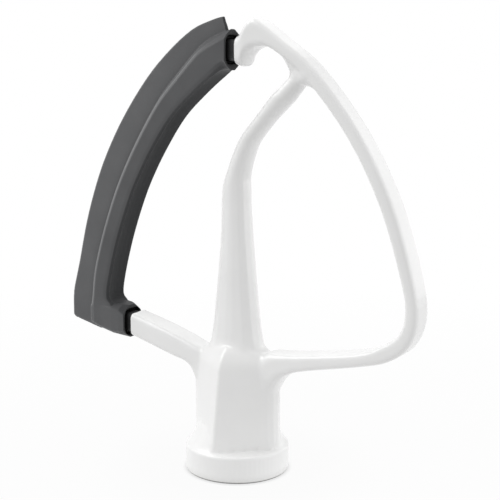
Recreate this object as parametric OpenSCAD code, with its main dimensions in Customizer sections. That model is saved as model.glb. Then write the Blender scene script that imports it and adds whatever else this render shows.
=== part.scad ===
// Flat beater with one flexible scraping edge, for a stand mixer.
// It stands on its hub collar. The blade plane is XZ, the hub's axis is Z,
// and the origin is on the axis, on the collar's lower face.

/* [Overall] */
// Height from the collar's lower face to the tip
beater_h = 175.5; // [160:0.5:200]
// Reach of the bare arm's outer face from the hub's axis
arm_reach = 77; // [68:0.5:88]
// Reach of the flexible edge's rim from the hub's axis
edge_reach = 82; // [72:0.5:93]

/* [Hub] */
// Diameter of the collar
collar_d = 40.8; // [38:0.2:44]
// Height of the collar
collar_h = 10.6; // [8:0.2:13]
// Rounding of the collar's two rims
collar_round = 0.9; // [0.5:0.1:1.5]
// Width of the neck across its two rounded sides
neck_w = 37.2; // [33:0.2:38]
// Depth of the neck across its front and back ridges at the collar
neck_foot_d = 37; // [32:0.2:40]
// Depth of the neck across the ridges under the struts
neck_head_d = 27; // [23:0.2:30]
// Height of the neck's head above the collar's lower face
neck_head_h = 42; // [39:0.5:44]
// Height of the cap that closes the neck above its head
neck_cap_h = 8.5; // [6:0.5:10]
// Radius of the neck's front and back ridges
neck_ridge_r = 1.6; // [1.4:0.1:4]
// Height of the flare beside the two flat faces of the neck
flare_h = 8; // [5:0.5:10]

/* [Shaft bore] */
// Diameter of the blind bore for the mixer's shaft
bore_d = 13.1; // [12.8:0.1:13.6]
// Depth of the bore
bore_deep = 36; // [30:0.5:38]
// Width of the two grooves for the shaft's cross pin
groove_w = 4.4; // [4.2:0.1:4.6]
// Diameter across the two grooves
groove_d = 20.4; // [19:0.2:21]
// Depth of the grooves from the collar's lower face
groove_deep = 19; // [16:0.5:22]
// Angle through which the pin turns to lock
lock_turn = 62; // [45:1:75]

/* [Limbs] */
// Depth of the arms and struts across the blade
limb_d = 11.4; // [9:0.2:13]
// Edge rounding of the arms and struts
limb_round = 1.8; // [1:0.1:2.3]
// Thickness of the core that the flexible edge is moulded over
core_t = 3.6; // [3:0.1:4.4]
// Depth of that core
core_d = 8; // [6:0.2:9]
// Height of the core at the edge's two open ends
mouth_core_t = 6.8; // [5:0.2:7.4]
// Depth of the core at the edge's two open ends
mouth_core_d = 6; // [5:0.2:7]

/* [Flexible edge] */
// Depth of the edge's body
edge_d = 13.4; // [12:0.2:15]
// Thickness of the fin at its rim
fin_rim_t = 1.4; // [1:0.1:2]
// Thickness of the fin at its root
fin_root_t = 2.8; // [2:0.1:4]
// Radius of the body's crest
crest_r = 1.6; // [0.6:0.1:2]
// Rounding of the body's two inner corners
lip_round = 1.3; // [0.8:0.1:1.8]
// Chamfer around the two open ends of the body
mouth_chamfer = 3.6; // [2:0.2:4]
// Depth of the recess inside the two open ends
mouth_deep = 2.4; // [0.6:0.1:3]
// Gap between the sleeve and the recess's wall
mouth_gap = 1.3; // [0.4:0.1:1.5]
// Depth of the channel along the body's inner side
channel_deep = 2.4; // [0.5:0.1:2.6]
// Thickness of the sleeve around the core at the two open ends
sleeve_t = 0.6; // [0.4:0.1:0.8]

/* [Hidden] */

overlap = collar_round / 3;
round_facets = 64;
span_steps = 4;
collar_r = collar_d / 2;
bore_r = bore_d / 2;
groove_r = groove_d / 2;
flare_d = collar_d - collar_round;
flare_gap = 1.5;

// Stations across a limb: outer x and z, inner x and z, half the depth, rounding.
// x is a share of the reach, z of the height, the depth of half the limb's,
// and the rounding of the limbs' edge rounding. The arm and the spine have the bare
// arm's reach, and the strut has the flexible edge's.
arm_shares = [
    [0.018, 0.960, 0.018, 0.903, 0.88, 1.40],
    [0.046, 0.969, 0.054, 0.899, 0.97, 1.90],
    [0.073, 0.987, 0.068, 0.916, 1.00, 1.80],
    [0.112, 1.000, 0.099, 0.932, 1.00, 1.50],
    [0.164, 0.990, 0.150, 0.940, 1.00, 1.10],
    [0.266, 0.958, 0.227, 0.934, 1.00, 1.00],
    [0.449, 0.897, 0.405, 0.875, 1.00, 1.00],
    [0.683, 0.773, 0.629, 0.757, 1.00, 1.00],
    [0.857, 0.635, 0.796, 0.623, 1.00, 1.00],
    [0.966, 0.491, 0.904, 0.484, 1.00, 1.00],
    [1.000, 0.405, 0.935, 0.413, 1.00, 1.00],
    [0.961, 0.342, 0.904, 0.364, 1.00, 1.00],
    [0.857, 0.304, 0.805, 0.332, 1.00, 1.00],
    [0.701, 0.283, 0.688, 0.312, 1.00, 1.00],
    [0.412, 0.255, 0.400, 0.290, 1.00, 1.05],
    [0.325, 0.241, 0.286, 0.284, 1.00, 1.20],
    [0.272, 0.222, 0.190, 0.279, 1.00, 1.90],
    [0.236, 0.190, 0.091, 0.245, 1.00, 2.90]
];
strut_shares = [
    [-0.222, 0.190, -0.085, 0.239, 1.00, 2.90],
    [-0.237, 0.218, -0.147, 0.265, 1.00, 1.90],
    [-0.272, 0.234, -0.220, 0.277, 1.00, 1.25],
    [-0.330, 0.241, -0.305, 0.291, 1.00, 1.10],
    [-0.420, 0.253, -0.415, 0.307, 1.00, 1.10],
    [-0.588, 0.275, -0.588, 0.328, 0.96, 1.10]
];
spine_shares = [
    [-0.182, 0.239, 0.182, 0.239, 1.58],
    [-0.138, 0.302, 0.138, 0.302, 1.19],
    [-0.110, 0.393, 0.110, 0.393, 1.09],
    [-0.081, 0.524, 0.081, 0.524, 1.00],
    [-0.070, 0.627, 0.064, 0.632, 0.91],
    [-0.031, 0.680, 0.060, 0.666, 0.84],
    [0.025, 0.733, 0.090, 0.718, 0.75],
    [0.096, 0.776, 0.142, 0.757, 0.68],
    [0.288, 0.868, 0.351, 0.855, 0.65],
    [0.299, 0.890, 0.403, 0.858, 0.70],
    [0.278, 0.910, 0.468, 0.846, 0.80],
    [0.240, 0.932, 0.540, 0.822, 0.85]
];
// Stations across the flexible edge: rim x and z, crest x and z, inner side x and z,
// then the share of the channel's full depth and the share of the mouth's chamfer.
edge_shares = [
    [-1.000, 0.303, -0.829, 0.296, -0.660, 0.285, 0, 0],
    [-0.998, 0.340, -0.830, 0.335, -0.690, 0.338, 0.1, 0],
    [-0.990, 0.368, -0.822, 0.362, -0.722, 0.360, 0.6, 0],
    [-0.952, 0.433, -0.804, 0.423, -0.704, 0.413, 1, 0],
    [-0.900, 0.530, -0.751, 0.509, -0.654, 0.496, 1, 0],
    [-0.834, 0.621, -0.684, 0.593, -0.593, 0.574, 1, 0],
    [-0.761, 0.697, -0.618, 0.659, -0.532, 0.637, 1, 0],
    [-0.654, 0.782, -0.522, 0.738, -0.443, 0.709, 1, 0],
    [-0.515, 0.868, -0.404, 0.820, -0.330, 0.783, 1, 0],
    [-0.384, 0.929, -0.293, 0.876, -0.212, 0.835, 1, 0],
    [-0.246, 0.977, -0.179, 0.929, -0.101, 0.876, 0.7, 0],
    [-0.128, 0.998, -0.080, 0.960, -0.041, 0.893, 0, 0.4],
    [-0.072, 1.004, -0.022, 0.978, -0.022, 0.889, 0, 1]
];
// The fin's lower corner: rim x and z, root x and z.
fin_foot_shares = [
    [-0.986, 0.2925, -0.812, 0.2745],
    [-0.998, 0.2975, -0.780, 0.2850]
];
// Stations across the foot of the flexible edge, from its mouth to its outer corner:
// lower x and z, upper x and z, the share of the mouth's chamfer, then how far the
// core has grown to its size at the mouth.
foot_shares = [
    [-0.622, 0.2640, -0.622, 0.3420, 0.98, 1],
    [-0.655, 0.2695, -0.655, 0.3440, 0.60, 0.4],
    [-0.700, 0.2742, -0.700, 0.3440, 0.35, 0.1],
    [-0.775, 0.2832, -0.775, 0.3430, 0.30, 0],
    [-0.829, 0.2922, -0.829, 0.3420, 0.30, 0]
];

function blend(a, b, c, d, t) =
    (2 * b + (c - a) * t + (2 * a - 5 * b + 4 * c - d) * t * t
    + (3 * b - a - 3 * c + d) * t * t * t) / 2;
// A smooth curve through every row of a table.
function curve(rows, steps) = let (last = len(rows) - 1) [
    for (i = [0:last - 1], j = [0:steps - 1])
        blend(rows[max(i - 1, 0)], rows[i], rows[i + 1], rows[min(i + 2, last)], j / steps),
    rows[last]
];
function scaled(row, sizes) = [for (i = [0:len(row) - 1]) row[i] * sizes[i]];
function placed(rows, sizes) = [for (row = rows) scaled(row, sizes)];
function unit(v) = v / norm(v);

// Four rounded corners of a limb's section, as [across, depth] from its middle.
function limb_outline(half_t, half_d, round_t, round_d) = [
    for (q = [0:3], a = [0, 30, 60, 90]) let (
        turn = q * 90 + a,
        side_t = (q == 0 || q == 3) ? 1 : -1,
        side_d = (q < 2) ? 1 : -1
    ) [
        side_t * (half_t - round_t) + round_t * cos(turn),
        side_d * (half_d - round_d) + round_d * sin(turn)
    ]
];
// A section outline set across a station, from its outer to its inner point.
function set_across(outer, inner, outline) = let (
    middle = (outer + inner) / 2,
    along = unit(outer - inner)
) [
    for (p = outline) [middle[0] + along[0] * p[0], p[1], middle[1] + along[1] * p[0]]
];

// A solid skin over a row of rings.
module skin(rings) {
    count = len(rings[0]);
    last = len(rings) - 1;
    polyhedron(
        points = [for (ring = rings) each ring],
        faces = [
            [for (k = [count - 1:-1:0]) k],
            [for (k = [0:count - 1]) last * count + k],
            for (i = [0:last - 1], k = [0:count - 1]) let (next = (k + 1) % count)
                [i * count + next, (i + 1) * count + k, i * count + k],
            for (i = [0:last - 1], k = [0:count - 1]) let (next = (k + 1) % count)
                [(i + 1) * count + next, (i + 1) * count + k, i * count + next]
        ]
    );
}

// A limb through its stations. The rounding is the station's last length, or with
// round_share a share of the section's own half width and half depth.
module limb(stations, round_share) {
    skin([
        for (s = stations) let (
            outer = [s[0], s[1]],
            inner = [s[2], s[3]],
            half_t = norm(outer - inner) / 2,
            round_t = round_share > 0 ? half_t * round_share : s[5],
            round_d = round_share > 0 ? s[4] * round_share : s[5]
        ) set_across(outer, inner, limb_outline(half_t, s[4], round_t, round_d))
    ]);
}

limb_sizes = [arm_reach, beater_h, arm_reach, beater_h, limb_d / 2, limb_round];
edge_sizes = [
    edge_reach, beater_h, edge_reach, beater_h, edge_reach, beater_h,
    channel_deep, mouth_chamfer
];
strut_sizes = [edge_reach, beater_h, edge_reach, beater_h, limb_d / 2, limb_round];
foot_sizes = [edge_reach, beater_h, edge_reach, beater_h, mouth_chamfer, 1];
arm_stations = curve(placed(arm_shares, limb_sizes), span_steps);
strut_stations = curve(placed(strut_shares, strut_sizes), span_steps);
spine_stations = curve(placed(spine_shares, limb_sizes), span_steps);
edge_stations = curve(placed(edge_shares, edge_sizes), span_steps);
foot_stations = placed(foot_shares, foot_sizes);

// The core lies between the body's crest and its channel, and grows towards the mouths.
core_seat_share = 0.4;
mouth_seat_share = 0.5;
core_round_share = 0.4;
function core_station(outer, inner, grow, open) = let (
    seat_share = core_seat_share + (mouth_seat_share - core_seat_share) * open,
    middle = outer + (inner - outer) * seat_share,
    half_t = (core_t + (mouth_core_t - core_t) * open) / 2 + grow,
    reach = unit(outer - inner) * half_t
) [
    middle[0] + reach[0], middle[1] + reach[1],
    middle[0] - reach[0], middle[1] - reach[1],
    (core_d + (mouth_core_d - core_d) * open) / 2 + grow
];
arm_core = [
    for (s = edge_stations)
        core_station([s[2], s[3]], [s[4], s[5]], 0, s[7] / mouth_chamfer)
];
foot_core = [
    for (s = foot_stations) core_station([s[0], s[1]], [s[2], s[3]], 0, s[5])
];
spine_round_share = 0.85;
// The shoulders of the bare metal, where the sleeves end.
tip_shoulder = scaled(arm_shares[0], limb_sizes);
strut_shoulder = scaled(strut_shares[len(strut_shares) - 1], strut_sizes);

function moved(station, shift, lift) = [
    station[0] + shift, station[1] + lift,
    station[2] + shift, station[3] + lift, station[4]
];
function at_shoulder(station, shoulder, past) = moved(
    station,
    (shoulder[0] + shoulder[2] - station[0] - station[2]) / 2 + past,
    (shoulder[1] + shoulder[3] - station[1] - station[3]) / 2
);
// The core's section at the two open ends, grown for the sleeve and the recess.
function tip_end(grow) = let (s = edge_stations[len(edge_stations) - 1])
    core_station([s[2], s[3]], [s[4], s[5]], grow, 1);
function foot_end(grow) = let (s = foot_stations[0])
    core_station([s[0], s[1]], [s[2], s[3]], grow, 1);
tip_slope = let (a = arm_core[len(arm_core) - 1], b = arm_core[len(arm_core) - 2])
    (a[1] + a[3] - b[1] - b[3]) / (a[0] + a[2] - b[0] - b[2]);

// The core between the body's open ends and the bare metal's shoulders.
module open_ends(grow, past, back) {
    tip = tip_end(grow);
    foot = foot_end(grow);
    limb([moved(tip, -back, -back * tip_slope), at_shoulder(tip, tip_shoulder, past)],
        core_round_share);
    limb([at_shoulder(foot, strut_shoulder, -past), moved(foot, -back, 0)], core_round_share);
}

module core() {
    union() {
        limb(arm_core, core_round_share);
        limb(foot_core, core_round_share);
        open_ends(0, overlap, 0);
    }
}

module recesses() {
    tip = tip_end(sleeve_t + mouth_gap);
    foot = foot_end(sleeve_t + mouth_gap);
    limb([moved(tip, -mouth_deep, -mouth_deep * tip_slope), moved(tip, overlap, 0)],
        core_round_share);
    limb([moved(foot, overlap, 0), moved(foot, -mouth_deep, 0)], core_round_share);
}

module collar() {
    rim_r = collar_r - collar_round;
    rotate_extrude($fn = round_facets) polygon([
        [0, 0],
        for (a = [-90:30:0]) [rim_r + collar_round * cos(a), collar_round * (1 + sin(a))],
        for (a = [0:30:90])
            [rim_r + collar_round * cos(a), collar_h - collar_round * (1 - sin(a))],
        [0, collar_h]
    ]);
}

// One ring of the neck: two broad round sides, and a narrow ridge at front and back,
// joined by four flat faces that touch both roundings.
arc_shares = [-1, -0.5, 0, 0.5, 1];
face_shares = [0, 0.25, 0.5, 0.75];
function neck_corners(width, depth, z) = let (
    side_r = limb_d / 2,
    side_x = width / 2 - side_r,
    ridge_y = depth / 2 - neck_ridge_r,
    lean = acos((neck_ridge_r - side_r) / norm([side_x, ridge_y])) - atan2(ridge_y, side_x),
    half = [
        for (s = arc_shares) [side_x + side_r * cos(lean * s), side_r * sin(lean * s), z],
        for (s = arc_shares) let (turn = (90 - lean) * s)
            [-neck_ridge_r * sin(turn), ridge_y + neck_ridge_r * cos(turn), z]
    ]
) [for (p = half) p, for (p = half) [-p[0], -p[1], z]];
function neck_ring(width, depth, z) = let (
    corners = neck_corners(width, depth, z),
    count = len(corners)
) [
    for (k = [0:count - 1]) let (flat = (k + 1) % len(arc_shares) == 0)
        for (s = flat ? face_shares : [0])
            corners[k] + (corners[(k + 1) % count] - corners[k]) * s
];

// The flare stands beside the two flat faces, in two opposite quarters.
module flare() {
    foot_z = collar_h - collar_round;
    top_z = collar_h + flare_h;
    for (side = [0, 180])
        rotate([0, 0, side + flare_gap])
            rotate_extrude(angle = 90 - 2 * flare_gap, $fn = round_facets) polygon([
                [bore_r, foot_z], [flare_d / 2, foot_z],
                [(neck_w - flare_h) / 2, top_z], [bore_r, top_z]
            ]);
}

// Slices down the neck: width share, depth share of the foot, depth share of the head,
// height share from the collar to the head, height share of the cap.
neck_shares = [
    [0.60, 0.00, 0.62, 1.00, 1.00],
    [0.78, 0.00, 0.80, 1.00, 0.70],
    [0.95, 0.00, 0.96, 1.00, 0.25],
    [1.00, 0.12, 0.88, 0.90, 0.00],
    [1.00, 0.50, 0.50, 0.50, 0.00],
    [1.00, 1.00, 0.00, 0.00, 0.00]
];
neck_base = collar_h - overlap;
module neck() {
    skin([
        for (s = curve(neck_shares, span_steps)) neck_ring(
            neck_w * s[0],
            neck_foot_d * s[1] + neck_head_d * s[2],
            neck_base + (neck_head_h - neck_base) * s[3] + neck_cap_h * s[4]
        )
    ]);
    flare();
}

// The blind bore with its two pin grooves and their locking turns.
module shaft_bore() {
    translate([0, 0, -overlap])
        cylinder(d = bore_d, h = bore_deep + overlap, $fn = round_facets);
    intersection() {
        translate([0, 0, -overlap])
            cylinder(d = groove_d, h = groove_deep + overlap, $fn = round_facets);
        translate([-groove_r, -groove_w / 2, -overlap])
            cube([groove_d, groove_w, groove_deep + overlap]);
    }
    for (side = [0, 180])
        rotate([0, 0, side])
            translate([0, 0, groove_deep - groove_w])
                rotate_extrude(angle = lock_turn, $fn = round_facets)
                    square([groove_r, groove_w]);
}

// Everything above the collar is one casting, as deep as the flare at its foot.
module casting() {
    resize([0, flare_d * cos(flare_gap), 0]) union() {
        neck();
        limb(arm_stations, 0);
        limb(strut_stations, 0);
        limb(spine_stations, spine_round_share);
        core();
    }
}

module beater_frame() {
    color("white") difference() {
        union() {
            collar();
            casting();
        }
        shaft_bore();
    }
}

// The body is deepest at its crest, and a little less deep at its inner side and mouths.
inner_side_share = 0.93;
mouth_waist_share = 0.09;
// Half of the body's section from the fin's root over the crest to the inner side,
// as [across from the crest, depth], along the body and at its open ends.
function edge_half(width, channel) = let (
    half_d = edge_d / 2,
    lip_d = half_d * inner_side_share
) [
    [-crest_r * 1.4, fin_root_t / 2],
    [0, half_d - crest_r],
    [crest_r * 0.3, half_d - crest_r * 0.3],
    [crest_r, half_d],
    [width - lip_round * 1.6, lip_d],
    [width - lip_round * 0.6, lip_d - lip_round * 0.25],
    [width, lip_d - lip_round],
    [width - channel * 0.5, lip_d * 0.58],
    [width - channel * 0.87, lip_d * 0.3],
    [width - channel, lip_d * 0.08]
];
function block_half(width, cut) = let (
    half_d = edge_d / 2 * (1 - mouth_waist_share * cut / mouth_chamfer),
    cut_d = cut / mouth_chamfer * half_d * 0.8
) [
    [0, half_d - cut_d - crest_r / 4],
    [0, half_d - cut_d],
    [cut / 2, half_d - cut_d * 0.4],
    [cut, half_d],
    [width - cut, half_d],
    [width - cut * 0.7, half_d - cut_d * 0.24],
    [width - cut * 0.3, half_d - cut_d * 0.64],
    [width, half_d - cut_d],
    [width, (half_d - cut_d) * 0.6],
    [width, (half_d - cut_d) * 0.3]
];
function both_halves(width, half) = [
    for (p = half) [width / 2 - p[0], p[1]],
    for (k = [len(half) - 1:-1:0]) [width / 2 - half[k][0], -half[k][1]]
];
function edge_outline(width, channel, chamfer) = let (open = max(chamfer, 0) / mouth_chamfer)
    both_halves(width,
        edge_half(width, channel) * (1 - open) + block_half(width, mouth_chamfer) * open);

module edge_body() {
    skin([
        for (s = edge_stations) let (outer = [s[2], s[3]], inner = [s[4], s[5]])
            set_across(outer, inner, edge_outline(norm(outer - inner), s[6], s[7]))
    ]);
}

module edge_foot() {
    skin([
        for (s = foot_stations) let (
            lower = [s[0], s[1]],
            upper = [s[2], s[3]],
            width = norm(upper - lower)
        ) set_across(lower, upper, both_halves(width, block_half(width, s[4])))
    ]);
}

function fin_ring(rim, root) = let (half = norm(rim - root) / 2) set_across(rim, root, [
    [half, fin_rim_t / 2], [-half, fin_root_t / 2],
    [-half, -fin_root_t / 2], [half, -fin_rim_t / 2]
]);

module fin() {
    skin([
        for (s = placed(fin_foot_shares, foot_sizes)) fin_ring([s[0], s[1]], [s[2], s[3]]),
        for (s = edge_stations)
            fin_ring([s[0], s[1]], ([s[2], s[3]] + [s[4], s[5]]) / 2)
    ]);
}

// The whole moulding is as deep as its body.
module flex_edge() {
    color("dimgray") resize([0, edge_d, 0]) difference() {
        union() {
            difference() {
                union() {
                    edge_body();
                    edge_foot();
                    fin();
                }
                recesses();
            }
            open_ends(sleeve_t, 0, mouth_deep * 1.5);
        }
        core();
    }
}

beater_frame();
flex_edge();
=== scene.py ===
"""Looks of the flat beater: coated casting and flexible edge, on a plain studio floor."""

import math

import bpy
import numpy as np
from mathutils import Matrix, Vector

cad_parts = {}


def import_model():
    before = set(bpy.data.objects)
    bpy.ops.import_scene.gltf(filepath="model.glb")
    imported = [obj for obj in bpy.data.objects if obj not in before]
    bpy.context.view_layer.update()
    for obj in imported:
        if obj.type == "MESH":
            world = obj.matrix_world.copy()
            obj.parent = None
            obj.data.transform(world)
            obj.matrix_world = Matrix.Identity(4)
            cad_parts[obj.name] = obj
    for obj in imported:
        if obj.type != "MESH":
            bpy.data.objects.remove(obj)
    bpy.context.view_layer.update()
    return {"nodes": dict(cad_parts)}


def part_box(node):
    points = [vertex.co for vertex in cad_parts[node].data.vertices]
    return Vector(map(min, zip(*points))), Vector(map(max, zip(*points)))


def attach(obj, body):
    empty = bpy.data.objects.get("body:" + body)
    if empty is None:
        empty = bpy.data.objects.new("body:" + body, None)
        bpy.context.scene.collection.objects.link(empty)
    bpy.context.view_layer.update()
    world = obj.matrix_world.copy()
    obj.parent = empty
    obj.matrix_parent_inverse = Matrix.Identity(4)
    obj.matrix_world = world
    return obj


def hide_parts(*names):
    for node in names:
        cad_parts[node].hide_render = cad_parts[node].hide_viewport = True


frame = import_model()

MM = 0.001

# A smoothing step moves a vertex in towards its neighbours' mean by the first share, then
# out from it by the second, so that the piece keeps its size.
SMOOTHING = (0.5, -0.53)
# A fillet step lifts a vertex in a concave seam by this share of the way to that mean.
FILLING = 0.8

# The zone round the bore, which keeps its sharp edges.
BORE_ZONE_R = 12.5 * MM
BORE_ZONE_H = 40 * MM

# The spine's swell: full up to the first distance from its middle, and gone by the second.
SWELL_FULL = 6.5 * MM
SWELL_END = 9.5 * MM

# The photograph's side, the point that the camera looks at, and the focal length, all in
# pixels.
PICTURE = 500
LOOKED_AT_X = 237.32
LOOKED_AT_Y = 246.33
FOCAL_LENGTH = 1112.1

AIM = Vector((0, 0, 89 * MM))
MIDDLE = Vector((0, 0, 90 * MM))

FLOOR_HALF = 6.0
FLOOR_REACH = 400 * MM
LAMP_SIDE = 0.8
LAMP_DISTANCE = 1.0


# Meshes

def arrays_of(mesh):
    """Vertex positions, edge ends and triangles of a mesh."""
    mesh.calc_loop_triangles()
    points = np.empty(len(mesh.vertices) * 3)
    mesh.vertices.foreach_get("co", points)
    edges = np.empty(len(mesh.edges) * 2, int)
    mesh.edges.foreach_get("vertices", edges)
    faces = np.empty(len(mesh.loop_triangles) * 3, int)
    mesh.loop_triangles.foreach_get("vertices", faces)
    return points.reshape(-1, 3), edges.reshape(-1, 2), faces.reshape(-1, 3)


def gathered(index, values, count):
    """Sum of the values over equal indices, column by column."""
    return np.stack(
        [np.bincount(index, values[:, k], count) for k in range(3)], axis=1
    )


def normals_of(points, faces):
    """Unit vertex normals."""
    a, b, c = (points[faces[:, k]] for k in range(3))
    flat = np.cross(b - a, c - a)
    total = sum(gathered(faces[:, k], flat, len(points)) for k in range(3))
    length = np.linalg.norm(total, axis=1, keepdims=True)
    return total / np.maximum(length, 1e-20)


def pull_of(points, edges, degree):
    """Vector from each vertex to the mean of its neighbours."""
    count = len(points)
    total = gathered(edges[:, 0], points[edges[:, 1]], count)
    total += gathered(edges[:, 1], points[edges[:, 0]], count)
    return total / degree - points


def softened(mesh, fillet_steps, fillet_share, swell, smooth_steps):
    """Fills concave seams with fillets, where fillet_share is over zero, then moves the
    surface out by swell, and smooths it without shrinking it."""
    points, edges, faces = arrays_of(mesh)
    degree = np.bincount(edges.ravel(), minlength=len(points))[:, None]
    degree = np.maximum(degree, 1)
    share = fillet_share(points)[:, None]
    for _ in range(fillet_steps):
        normal = normals_of(points, faces)
        rise = (pull_of(points, edges, degree) * normal).sum(1, keepdims=True)
        points = points + normal * np.maximum(rise, 0) * FILLING * share
    points = points + normals_of(points, faces) * swell(points)[:, None]
    for _ in range(smooth_steps):
        for factor in SMOOTHING:
            points = points + pull_of(points, edges, degree) * factor
    mesh.vertices.foreach_set("co", points.ravel())
    mesh.update()


def marked_ridges(mesh, spread_steps):
    """Keeps how sharply the surface bends outwards, in 1/m, at its vertices."""
    points, edges, faces = arrays_of(mesh)
    normal = normals_of(points, faces)
    a, b = edges.T
    count = np.maximum(np.bincount(edges.ravel(), minlength=len(points)), 1)

    def shared(at_a, at_b):
        """Mean at each vertex of the values that its edges bring."""
        total = np.bincount(a, at_a, len(points)) + np.bincount(b, at_b, len(points))
        return total / count

    gap = points[b] - points[a]
    bend = ((normal[b] - normal[a]) * gap).sum(1) / np.maximum((gap**2).sum(1), 1e-12)
    value = shared(bend, bend)
    for _ in range(spread_steps):
        value = (value + shared(value[b], value[a])) / 2
    mesh.attributes.new("ridge", "FLOAT", "POINT").data.foreach_set("value", value)


def added(name, data):
    """A new object in the scene that holds the data."""
    piece = bpy.data.objects.new(name, data)
    bpy.context.scene.collection.objects.link(piece)
    return piece


def applied(piece, kind, **settings):
    """Gives the piece one modifier and keeps its result as the mesh."""
    modifier = piece.modifiers.new(kind, kind)
    for key, value in settings.items():
        setattr(modifier, key, value)
    graph = bpy.context.evaluated_depsgraph_get()
    mesh = bpy.data.meshes.new_from_object(piece.evaluated_get(graph))
    piece.modifiers.clear()
    old = piece.data
    piece.data = mesh
    bpy.data.meshes.remove(old)


def nowhere(points):
    return np.zeros(len(points))


def moulded(
    name, node, voxel, smooth_steps, triangles,
    fillet_steps=0, fillet_share=nowhere, swell=nowhere,
):
    """A smooth piece in the place of a CAD node, made from the node's own surface and
    kept inside its box."""
    piece = added(name, frame["nodes"][node].data.copy())
    piece.data.materials.clear()
    applied(piece, "REMESH", mode="VOXEL", voxel_size=voxel, adaptivity=0.0)
    softened(piece.data, fillet_steps, fillet_share, swell, smooth_steps)
    made = sum(len(face.vertices) - 2 for face in piece.data.polygons)
    if made > triangles:
        applied(piece, "DECIMATE", ratio=triangles / made)
    low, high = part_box(node)
    for vertex in piece.data.vertices:
        vertex.co = [min(max(c, a), b) for c, a, b in zip(vertex.co, low, high)]
    piece.data.polygons.foreach_set("use_smooth", [True] * len(piece.data.polygons))
    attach(piece, "root")
    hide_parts(node)
    return piece


def cast_fillets(points):
    """Fillets everywhere on the casting but round the bore."""
    inside = np.hypot(points[:, 0], points[:, 1]) < BORE_ZONE_R
    return np.where(inside & (points[:, 2] < BORE_ZONE_H), 0.0, 1.0)


def spine_swell(points):
    """The coated spine is a little fuller towards its upper end and its root in the arm.
    The table holds height, middle and thickness added, in mm."""
    table = np.array([
        (106, 0.0, 0.0), (115, 1.0, 0.40), (123, 2.5, 0.65), (131, 5.9, 0.90),
        (138.5, 11.5, 0.90), (146.5, 17.2, 1.50), (151, 21.0, 0.80), (156, 25.0, 0.0),
    ]) * MM
    x, z = points[:, 0], points[:, 2]
    middle = np.interp(z, table[:, 0], table[:, 1])
    thickness = np.interp(z, table[:, 0], table[:, 2])
    near = (SWELL_END - np.abs(x - middle)) / (SWELL_END - SWELL_FULL)
    return thickness * np.clip(near, 0, 1)


# Parts of materials

def new_material(name):
    """A material with its node tree and its shader."""
    material = bpy.data.materials.new(name)
    material.use_nodes = True
    tree = material.node_tree
    shader = next(node for node in tree.nodes if node.type == "BSDF_PRINCIPLED")
    return material, tree, shader


def place(tree):
    """Object coordinates, which are the frame's own, in metres."""
    return tree.nodes.new("ShaderNodeTexCoord").outputs["Object"]


def noise(tree, cells, detail, distortion=0.0):
    """Noise with so many cells a metre."""
    node = tree.nodes.new("ShaderNodeTexNoise")
    node.inputs["Scale"].default_value = cells
    node.inputs["Detail"].default_value = detail
    node.inputs["Distortion"].default_value = distortion
    tree.links.new(place(tree), node.inputs["Vector"])
    return node.outputs["Fac"]


def ramp(tree, value, stops):
    """A colour ramp from (place, colour) pairs."""
    node = tree.nodes.new("ShaderNodeValToRGB")
    line = node.color_ramp
    while len(line.elements) < len(stops):
        line.elements.new(0.5)
    for element, (position, colour) in zip(line.elements, stops):
        element.position = position
        element.color = (*colour, 1)
    tree.links.new(value, node.inputs["Fac"])
    return node.outputs["Color"]


def grey(level):
    return (level, level, level)


def ranged(tree, value, low, high):
    """The value, from 0 to 1, spread from low to high."""
    node = tree.nodes.new("ShaderNodeMapRange")
    node.inputs["To Min"].default_value = low
    node.inputs["To Max"].default_value = high
    tree.links.new(value, node.inputs["Value"])
    return node.outputs["Result"]


def stepped(tree, value, low, high):
    """0 where the value is under low, 1 where it is over high, and smooth between."""
    node = tree.nodes.new("ShaderNodeMapRange")
    node.interpolation_type = "SMOOTHSTEP"
    node.inputs["From Min"].default_value = low
    node.inputs["From Max"].default_value = high
    tree.links.new(value, node.inputs["Value"])
    return node.outputs["Result"]


def combined(tree, operation, first, second):
    """Two values put together by the operation."""
    node = tree.nodes.new("ShaderNodeMath")
    node.operation = operation
    tree.links.new(first, node.inputs[0])
    tree.links.new(second, node.inputs[1])
    return node.outputs[0]


def mixed(tree, share, colour, other, blend="MIX"):
    """The colour, with the other laid over it by the share."""
    node = tree.nodes.new("ShaderNodeMix")
    node.data_type = "RGBA"
    node.blend_type = blend
    sockets = [socket for socket in node.inputs if socket.enabled]
    for value, socket in zip((share, colour, other), sockets):
        if isinstance(value, float):
            socket.default_value = value
        elif isinstance(value, tuple):
            socket.default_value = (*value, 1)
        else:
            tree.links.new(value, socket)
    return next(socket for socket in node.outputs if socket.enabled)


def bumped(tree, value, strength, depth, below=None):
    """A normal from the value as height, laid over the one below."""
    node = tree.nodes.new("ShaderNodeBump")
    node.inputs["Strength"].default_value = strength
    node.inputs["Distance"].default_value = depth
    tree.links.new(value, node.inputs["Height"])
    if below is not None:
        tree.links.new(below, node.inputs["Normal"])
    return node.outputs["Normal"]


def openness(tree, reach):
    """How open a surface is within the reach, from 0 in a deep crease to 1."""
    node = tree.nodes.new("ShaderNodeAmbientOcclusion")
    node.inputs["Distance"].default_value = reach
    node.samples = 8
    return node.outputs["AO"]


def facing(tree, side, low, high):
    """How far a surface faces the given side, from 0 at low to 1 at high."""
    shape = tree.nodes.new("ShaderNodeNewGeometry")
    dot = tree.nodes.new("ShaderNodeVectorMath")
    dot.operation = "DOT_PRODUCT"
    dot.inputs[1].default_value = side
    tree.links.new(shape.outputs["Normal"], dot.inputs[0])
    return stepped(tree, dot.outputs["Value"], low, high)


def ridges(tree, low, high):
    """1 along sharp outer edges, where a painted highlight is laid, and 0 off them."""
    mark = tree.nodes.new("ShaderNodeAttribute")
    mark.attribute_name = "ridge"
    return stepped(tree, mark.outputs["Fac"], low, high)


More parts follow.
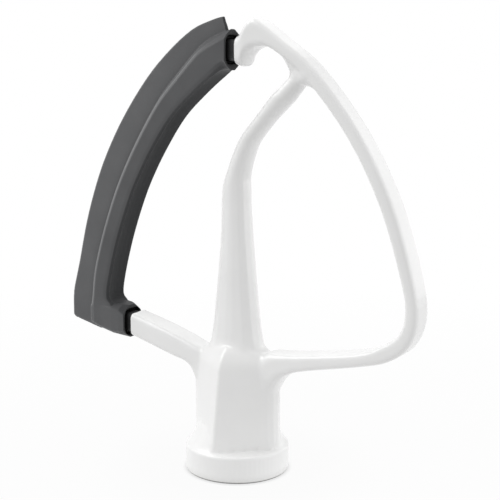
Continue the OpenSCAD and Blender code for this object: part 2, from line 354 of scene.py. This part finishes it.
def height(tree, low, high):
    """Height over the collar's face, from 0 at low to 1 at high."""
    parts = tree.nodes.new("ShaderNodeSeparateXYZ")
    tree.links.new(place(tree), parts.inputs[0])
    return stepped(tree, parts.outputs["Z"], low, high)


def falling(tree, shares):
    """A share that changes with the distance from the hub's axis, from (distance, share)
    pairs."""
    length = tree.nodes.new("ShaderNodeVectorMath")
    length.operation = "LENGTH"
    tree.links.new(place(tree), length.inputs[0])
    node = tree.nodes.new("ShaderNodeMapRange")
    node.inputs["From Max"].default_value = FLOOR_REACH
    tree.links.new(length.outputs["Value"], node.inputs["Value"])
    stops = [(distance / FLOOR_REACH, grey(share)) for distance, share in shares]
    return ramp(tree, node.outputs["Result"], stops)


def mixed_shaders(tree, share, shader, other):
    """The shader, with the other laid over it by the share."""
    node = tree.nodes.new("ShaderNodeMixShader")
    for value, socket in zip((share, shader, other), node.inputs):
        tree.links.new(value, socket)
    return node.outputs[0]


def shown_or(tree, shown, lit):
    """Shader shown to camera, mirror and glass rays, and lit for all other rays."""
    path = tree.nodes.new("ShaderNodeLightPath")
    seen = path.outputs["Is Camera Ray"]
    for kind in ("Is Glossy Ray", "Is Transmission Ray"):
        seen = combined(tree, "MAXIMUM", seen, path.outputs[kind])
    return mixed_shaders(tree, seen, lit, shown)


# Materials

def white_coating():
    """Thick glossy coat: a little orange peel, faint unevenness of tone and gloss, painted
    shade in the creases, and a dark rim painted along the collar's lower edge as the shade
    where it meets the floor."""
    material, tree, shader = new_material("white_coating")
    tone = noise(tree, cells=55, detail=3)
    coat = ramp(tree, tone, [(0.3, (0.845, 0.845, 0.84)), (0.7, (0.875, 0.875, 0.872))])
    # Painted shade: a dark band along the collar's lower edge stands in for the shade where
    # the collar meets the floor.
    contact_shade = (0.10, 0.10, 0.098)
    coat_with_contact_shade = mixed(tree, height(tree, 0.45 * MM, 0.95 * MM), contact_shade, coat)
    # Painted shade: the colour is darkened where the surface is enclosed within 5 mm, in
    # creases and seams.
    crease = ramp(
        tree, openness(tree, 5 * MM), [(0.35, (0.80, 0.80, 0.79)), (0.85, grey(1))]
    )
    tree.links.new(
        mixed(tree, 1.0, coat_with_contact_shade, crease, "MULTIPLY"), shader.inputs["Base Color"]
    )
    gloss = noise(tree, cells=130, detail=4)
    tree.links.new(ranged(tree, gloss, 0.30, 0.40), shader.inputs["Roughness"])
    peel = bumped(tree, noise(tree, cells=420, detail=2), strength=0.10, depth=0.04 * MM)
    waves = bumped(
        tree, noise(tree, cells=90, detail=1), strength=0.20, depth=0.08 * MM, below=peel
    )
    tree.links.new(waves, shader.inputs["Normal"])
    shader.inputs["Specular IOR Level"].default_value = 0.5
    shader.inputs["IOR"].default_value = 1.5
    shader.inputs["Coat Weight"].default_value = 0.7
    shader.inputs["Coat Roughness"].default_value = 0.22
    return material


def grey_elastomer():
    """Matte moulded elastomer: fine spark-eroded grain, faint flow marks, a painted
    highlight along the crest on its outer side, painted shade on its inner side and painted
    shade in its mouths and other recesses."""
    material, tree, shader = new_material("grey_elastomer")
    tone = noise(tree, cells=60, detail=5, distortion=0.3)
    fresh = ramp(tree, tone, [(0.3, (0.087, 0.088, 0.091)), (0.7, (0.102, 0.103, 0.106))])
    # Painted shade: the inner side, which faces +X, is made darker by its colour.
    inner_side_shade = facing(tree, (1, 0, 0), 0.2, 0.75)
    inner = mixed(tree, inner_side_shade, fresh, (0.050, 0.051, 0.053))
    # Painted highlight: a lighter colour along the sharp outer edges that face the outer
    # side.
    outer_side = facing(tree, (-0.9, 0, -0.43), -0.1, 0.25)
    crest = combined(tree, "MULTIPLY", ridges(tree, 100, 380), outer_side)
    with_crest_highlight = mixed(tree, crest, inner, (0.150, 0.152, 0.156))
    # Painted shade: the colour is darkened strongly where the surface is enclosed within 5
    # mm, in the channel, the mouths and other recesses.
    deep = ramp(
        tree, openness(tree, 5 * MM),
        [(0.30, grey(0.04)), (0.62, grey(0.28)), (0.82, grey(0.85)), (0.92, grey(1))],
    )
    tree.links.new(
        mixed(tree, 1.0, with_crest_highlight, deep, "MULTIPLY"), shader.inputs["Base Color"]
    )
    gloss = noise(tree, cells=300, detail=3)
    tree.links.new(ranged(tree, gloss, 0.50, 0.62), shader.inputs["Roughness"])
    grain = bumped(tree, noise(tree, cells=2600, detail=3), strength=0.35, depth=0.05 * MM)
    flow = bumped(
        tree, noise(tree, cells=70, detail=2), strength=0.30, depth=0.15 * MM, below=grain
    )
    tree.links.new(flow, shader.inputs["Normal"])
    shader.inputs["Specular IOR Level"].default_value = 0.2
    return material


def floor_material(kept, thrown):
    """White floor that keeps a share of the object's shadow, and throws a share of
    light up from around its foot."""
    material = bpy.data.materials.new("floor")
    material.use_nodes = True
    tree = material.node_tree
    tree.nodes.clear()
    out = tree.nodes.new("ShaderNodeOutputMaterial")
    matt = tree.nodes.new("ShaderNodeBsdfDiffuse")
    matt.inputs["Color"].default_value = (0.9, 0.9, 0.9, 1)
    glow = tree.nodes.new("ShaderNodeEmission")
    glow.inputs["Strength"].default_value = 1.0
    seen = mixed_shaders(tree, falling(tree, kept), glow.outputs[0], matt.outputs[0])
    table = mixed_shaders(tree, falling(tree, thrown), matt.outputs[0], glow.outputs[0])
    tree.links.new(shown_or(tree, seen, table), out.inputs["Surface"])
    return material


# Studio

def floor():
    """A wide floor, which keeps more of the shadow under the collar than round it."""
    half = FLOOR_HALF
    mesh = bpy.data.meshes.new("floor")
    mesh.from_pydata(
        [(-half, -half, 0), (half, -half, 0), (half, half, 0), (-half, half, 0)],
        [],
        [(0, 1, 2, 3)],
    )
    under_collar = 20.6 * MM
    beside_collar = 21.3 * MM
    kept = [
        (0, 0.3), (under_collar, 0.3), (beside_collar, 0.08), (60 * MM, 0.04), (350 * MM, 0)
    ]
    thrown = [(50 * MM, 0.7), (300 * MM, 0)]
    mesh.materials.append(floor_material(kept, thrown))
    added("floor", mesh)


def world(level):
    """A white surround that lights the object at the given level."""
    scene_world = bpy.data.worlds.new("studio")
    bpy.context.scene.world = scene_world
    scene_world.use_nodes = True
    tree = scene_world.node_tree
    tree.nodes.clear()
    out = tree.nodes.new("ShaderNodeOutputWorld")
    shown, lit = (tree.nodes.new("ShaderNodeBackground") for _ in range(2))
    for background, strength in ((shown, 1.0), (lit, level)):
        background.inputs["Strength"].default_value = strength
        background.inputs["Color"].default_value = (1, 1, 1, 1)
    tree.links.new(shown_or(tree, shown.outputs[0], lit.outputs[0]), out.inputs["Surface"])


def direction(azimuth, elevation):
    """Unit vector from the object towards the given side, in degrees. Azimuth 0 is the
    side that looks along +Y."""
    turn = math.radians(azimuth)
    lift = math.radians(elevation)
    return Vector(
        (math.sin(turn) * math.cos(lift), -math.cos(turn) * math.cos(lift), math.sin(lift))
    )


def softbox(name, azimuth, elevation, power, only):
    """A square area lamp that faces the object's middle from the given side, and lights
    only one piece."""
    back = direction(azimuth, elevation)
    lamp = bpy.data.lights.new(name, "AREA")
    lamp.size = LAMP_SIDE
    lamp.energy = power
    piece = added(name, lamp)
    piece.location = MIDDLE + back * LAMP_DISTANCE
    piece.rotation_euler = back.to_track_quat("Z", "Y").to_euler()
    lit = bpy.data.collections.new(name + "_lit")
    lit.objects.link(only)
    piece.light_linking.receiver_collection = lit


def camera(azimuth, elevation, distance):
    """The photograph's camera, at the given side of the object."""
    back = direction(azimuth, elevation)
    lens = bpy.data.cameras.new("camera")
    lens.sensor_width = 36.0
    lens.lens = lens.sensor_width * FOCAL_LENGTH / PICTURE
    lens.shift_x = (PICTURE / 2 - LOOKED_AT_X) / PICTURE
    lens.shift_y = (LOOKED_AT_Y - PICTURE / 2) / PICTURE
    lens.clip_start = 0.01
    lens.clip_end = 50
    piece = added("camera", lens)
    piece.location = AIM + back * distance
    piece.rotation_euler = (-back).to_track_quat("-Z", "Y").to_euler()
    bpy.context.scene.camera = piece


camera(31.5, 9.745, 430 * MM)
floor()

casting = moulded(
    "coated_casting", "beater_frame",
    voxel=0.42 * MM, smooth_steps=20, triangles=190000,
    fillet_steps=40, fillet_share=cast_fillets, swell=spine_swell,
)
casting.data.materials.append(white_coating())
edge = moulded(
    "flexible_edge", "flex_edge",
    voxel=0.28 * MM, smooth_steps=7, triangles=190000,
)
edge.data.materials.append(grey_elastomer())
marked_ridges(edge.data, spread_steps=5)

world(0.59)
for name, azimuth, elevation, power, only in (
    ("lamp_high_left", -58.5, 50, 5.6, casting),
    ("lamp_right", 101.5, 15, 2.4, casting),
    ("lamp_right_behind", 146.5, 15, 1.4, casting),
    ("lamp_behind", 211.5, 50, 0.8, casting),
    ("lamp_left", -68.5, 15, 0.8, casting),
    ("lamp_left_edge", -68.5, 15, 9.5, edge),
):
    softbox(name, azimuth, elevation, power, only)

bpy.context.scene.view_settings.view_transform = "Standard"
